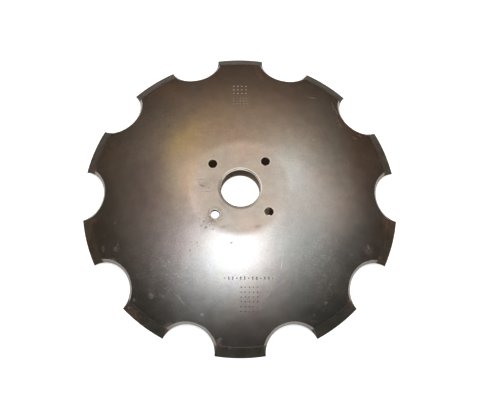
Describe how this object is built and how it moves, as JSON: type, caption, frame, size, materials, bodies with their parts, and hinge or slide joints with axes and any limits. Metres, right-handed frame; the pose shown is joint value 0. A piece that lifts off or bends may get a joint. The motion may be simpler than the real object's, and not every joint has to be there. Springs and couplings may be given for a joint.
{
  "type": "harrow disc blade",
  "caption": "Dished steel harrow disc with a notched, sharpened rim, a flat hub, a centre bore and bolt holes.",
  "frame": {"origin": "on the blade's axis, in the plane of the tooth tips that it rests on", "axes": "+Z along the blade's axis towards the domed side; a tooth points along +Y and a notch along +X"},
  "size_m": [0.5132, 0.5198, 0.048],
  "materials": {
    "blade_steel": "hardened plate, dark and semi-gloss, with handling marks and specks of rust"
  },
  "bodies": {
    "root": {"disc_blade": "blade_steel"}
  },
  "joints": []
}
